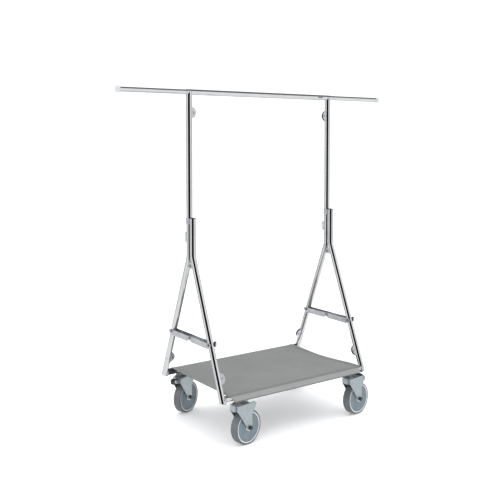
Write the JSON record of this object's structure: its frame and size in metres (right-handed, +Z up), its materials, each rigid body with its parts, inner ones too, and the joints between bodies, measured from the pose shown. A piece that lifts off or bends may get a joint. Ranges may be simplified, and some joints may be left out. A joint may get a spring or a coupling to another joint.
{
  "type": "rolling clothes rack",
  "caption": "Folding rolling clothes rack with telescopic hanging rail, braced A-frame ends, cloth shelf and swivel casters.",
  "frame": {"origin": "on the floor, midway between the two side frames and the front and rear base tubes", "axes": "+X along the hanging rail, to the right; +Y to the rear; +Z up"},
  "size_m": [1.254, 0.4785, 1.2745],
  "materials": {
    "tube_chrome": "satin plated",
    "rail_chrome": "polished",
    "plate_steel": "plated",
    "link_steel": "plated",
    "rivet_steel": "bright",
    "dark_steel": "dark plated",
    "zinc_fork": "zinc plated",
    "stem_grey": "matt",
    "light_plastic": "semi gloss",
    "grey_plastic": "matt",
    "black_plastic": "matt",
    "hub_plastic": "semi gloss",
    "tyre_grey": "matt",
    "shelf_fabric": "woven"
  },
  "bodies": {
    "rear_frame": {"rear_leg_left": "tube_chrome", "rear_leg_right": "tube_chrome", "rear_leg_stubs": "tube_chrome", "rear_base_tube": "tube_chrome", "rear_corner_brackets": "plate_steel", "rear_leg_hinges": "plate_steel", "rear_hinge_rivets": "rivet_steel", "sleeve_collars": "grey_plastic", "clamp_bosses": "plate_steel", "apex_lugs": "plate_steel", "rear_caster_stems": "stem_grey", "rear_spreader_bolts": "rivet_steel", "shelf_fabric": "shelf_fabric"},
    "front_frame": {"front_leg_left": "tube_chrome", "front_leg_right": "tube_chrome", "front_leg_stubs": "tube_chrome", "front_base_tube": "tube_chrome", "front_corner_brackets": "plate_steel", "front_leg_hinges": "plate_steel", "front_hinge_rivets": "rivet_steel", "apex_clevises": "plate_steel", "apex_bolts": "rivet_steel", "front_caster_stems": "stem_grey", "front_spreader_bolts": "rivet_steel"},
    "top_frame": {"post_left": "tube_chrome", "post_right": "tube_chrome", "rail_tube": "rail_chrome", "rail_stop": "black_plastic", "post_hinges": "plate_steel", "post_hinge_rivets": "rivet_steel"},
    "rail_end_left": {"rail_bar_left": "rail_chrome", "rail_cap_left": "light_plastic"},
    "knob_left": {"lock_knob_left": "light_plastic"},
    "rear_link_left": {"spreader_rear_left": "link_steel", "spreader_rivets_left": "rivet_steel"},
    "front_link_left": {"spreader_front_left": "link_steel"},
    "rail_end_right": {"rail_bar_right": "rail_chrome", "rail_cap_right": "light_plastic"},
    "knob_right": {"lock_knob_right": "light_plastic"},
    "rear_link_right": {"spreader_rear_right": "link_steel", "spreader_rivets_right": "rivet_steel"},
    "front_link_right": {"spreader_front_right": "link_steel"},
    "caster_front_left": {"caster_fork_front_left": "zinc_fork", "caster_axle_front_left": "dark_steel"},
    "wheel_front_left": {"caster_hub_front_left": "hub_plastic", "caster_tyre_front_left": "tyre_grey"},
    "caster_front_right": {"caster_fork_front_right": "zinc_fork", "caster_axle_front_right": "dark_steel"},
    "wheel_front_right": {"caster_hub_front_right": "hub_plastic", "caster_tyre_front_right": "tyre_grey"},
    "brake_front_right": {"brake_pedal_front_right": "black_plastic"},
    "caster_rear_left": {"caster_fork_rear_left": "zinc_fork", "caster_axle_rear_left": "dark_steel"},
    "wheel_rear_left": {"caster_hub_rear_left": "hub_plastic", "caster_tyre_rear_left": "tyre_grey"},
    "brake_rear_left": {"brake_pedal_rear_left": "black_plastic"},
    "caster_rear_right": {"caster_fork_rear_right": "zinc_fork", "caster_axle_rear_right": "dark_steel"},
    "wheel_rear_right": {"caster_hub_rear_right": "hub_plastic", "caster_tyre_rear_right": "tyre_grey"}
  },
  "joints": [
    {"name": "top_frame_lift", "type": "slide", "parent": "rear_frame", "child": "top_frame", "axis": [0, 0, 1], "range_m": [0, 0.1]},
    {"name": "depth_fold", "type": "hinge", "parent": "rear_frame", "child": "front_frame", "pos_m": [0, 0, 0.627], "axis": [1, 0, 0], "range_deg": [0, 25], "deforming": ["shelf_fabric"]},
    {"name": "rail_end_slide_left", "type": "slide", "parent": "top_frame", "child": "rail_end_left", "axis": [-1, 0, 0], "range_m": [-0.25, 0]},
    {"name": "knob_turn_left", "type": "hinge", "parent": "rear_frame", "child": "knob_left", "pos_m": [-0.335, 0.03, 0.731], "axis": [0, 1, 0], "continuous": true},
    {"name": "rear_link_pivot_left", "type": "hinge", "parent": "rear_frame", "child": "rear_link_left", "pos_m": [-0.335, 0.1295, 0.361], "axis": [1, 0, 0], "range_deg": [-46, 0]},
    {"name": "front_link_pivot_left", "type": "hinge", "parent": "front_frame", "child": "front_link_left", "pos_m": [-0.335, -0.1295, 0.361], "axis": [1, 0, 0], "range_deg": [0, 46]},
    {"name": "rail_end_slide_right", "type": "slide", "parent": "top_frame", "child": "rail_end_right", "axis": [1, 0, 0], "range_m": [-0.25, 0]},
    {"name": "knob_turn_right", "type": "hinge", "parent": "rear_frame", "child": "knob_right", "pos_m": [0.335, 0.03, 0.731], "axis": [0, 1, 0], "continuous": true},
    {"name": "rear_link_pivot_right", "type": "hinge", "parent": "rear_frame", "child": "rear_link_right", "pos_m": [0.335, 0.1295, 0.361], "axis": [1, 0, 0], "range_deg": [-46, 0]},
    {"name": "front_link_pivot_right", "type": "hinge", "parent": "front_frame", "child": "front_link_right", "pos_m": [0.335, -0.1295, 0.361], "axis": [1, 0, 0], "range_deg": [0, 46]},
    {"name": "swivel_front_left", "type": "hinge", "parent": "front_frame", "child": "caster_front_left", "pos_m": [-0.269, -0.20065, 0.153], "axis": [0, 0, 1], "continuous": true},
    {"name": "wheel_spin_front_left", "type": "hinge", "parent": "caster_front_left", "child": "wheel_front_left", "pos_m": [-0.22764, -0.19336, 0.0625], "axis": [-0.1736, 0.9848, 0], "continuous": true},
    {"name": "swivel_front_right", "type": "hinge", "parent": "front_frame", "child": "caster_front_right", "pos_m": [0.269, -0.20065, 0.153], "axis": [0, 0, 1], "continuous": true},
    {"name": "wheel_spin_front_right", "type": "hinge", "parent": "caster_front_right", "child": "wheel_front_right", "pos_m": [0.31059, -0.19481, 0.0625], "axis": [-0.1392, 0.9903, 0], "continuous": true},
    {"name": "brake_pedal_front_right", "type": "hinge", "parent": "caster_front_right", "child": "brake_front_right", "pos_m": [0.33436, -0.19147, 0.144], "axis": [-0.1392, 0.9903, 0], "range_deg": [0, 11]},
    {"name": "swivel_rear_left", "type": "hinge", "parent": "rear_frame", "child": "caster_rear_left", "pos_m": [-0.269, 0.20065, 0.153], "axis": [0, 0, 1], "continuous": true},
    {"name": "wheel_spin_rear_left", "type": "hinge", "parent": "caster_rear_left", "child": "wheel_rear_left", "pos_m": [-0.23006, 0.21638, 0.0625], "axis": [-0.3746, 0.9272, 0], "continuous": true},
    {"name": "brake_pedal_rear_left", "type": "hinge", "parent": "caster_rear_left", "child": "brake_rear_left", "pos_m": [-0.20781, 0.22538, 0.144], "axis": [-0.3746, 0.9272, 0], "range_deg": [0, 11]},
    {"name": "swivel_rear_right", "type": "hinge", "parent": "rear_frame", "child": "caster_rear_right", "pos_m": [0.269, 0.20065, 0.153], "axis": [0, 0, 1], "continuous": true},
    {"name": "wheel_spin_rear_right", "type": "hinge", "parent": "caster_rear_right", "child": "wheel_rear_right", "pos_m": [0.31036, 0.20794, 0.0625], "axis": [-0.1736, 0.9848, 0], "continuous": true}
  ],
  "couplings": [
    {"joint": "rear_link_pivot_left", "follows": "depth_fold", "ratio": -1.816},
    {"joint": "front_link_pivot_left", "follows": "depth_fold", "ratio": 1.816},
    {"joint": "rear_link_pivot_right", "follows": "depth_fold", "ratio": -1.816},
    {"joint": "front_link_pivot_right", "follows": "depth_fold", "ratio": 1.816}
  ]
}
